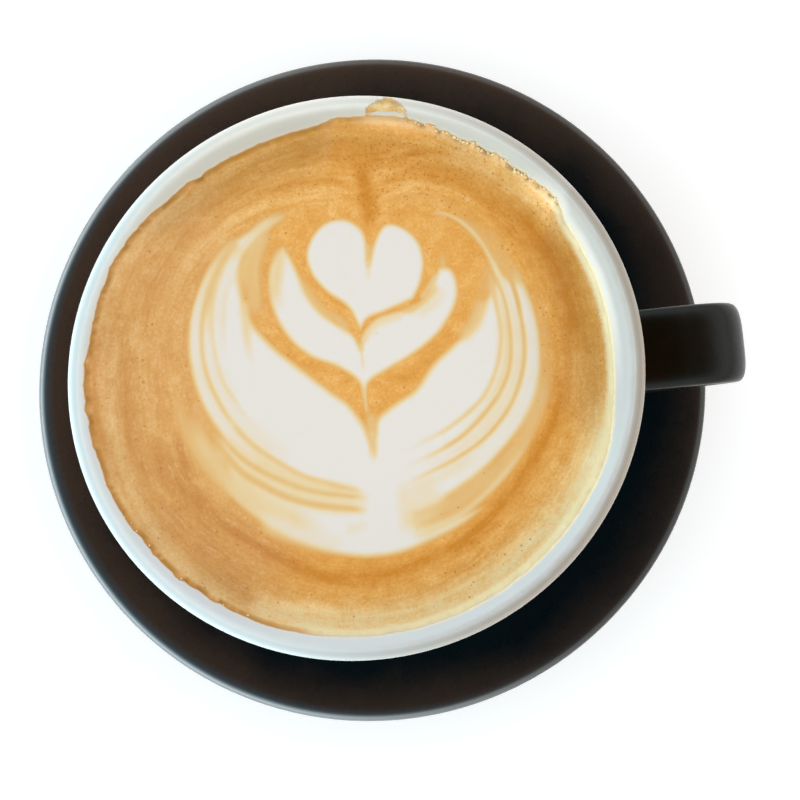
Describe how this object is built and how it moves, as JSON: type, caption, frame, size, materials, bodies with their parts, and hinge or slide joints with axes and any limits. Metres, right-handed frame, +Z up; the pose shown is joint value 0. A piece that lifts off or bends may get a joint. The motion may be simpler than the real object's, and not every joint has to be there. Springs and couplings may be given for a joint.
{
  "type": "latte in a cup on a saucer",
  "caption": "Latte with a leaf and a heart drawn in milk foam, in a round cup with a strap handle, standing on a round saucer.",
  "frame": {"origin": "middle of the saucer's foot ring, on the surface it stands on", "axes": "+Z up, the cup's handle along +X, the tip of the milk leaves towards -Y"},
  "size_m": [0.1606, 0.1594, 0.0738],
  "materials": {
    "saucer_glaze": "satin",
    "cup_glaze": "satin",
    "crema": "satin",
    "milk_foam": "satin"
  },
  "bodies": {
    "root": {"saucer": "saucer_glaze", "cup": "cup_glaze", "coffee": "crema", "foam_heart": "milk_foam", "foam_leaf_middle": "milk_foam", "foam_leaf_large": "milk_foam"}
  },
  "joints": []
}
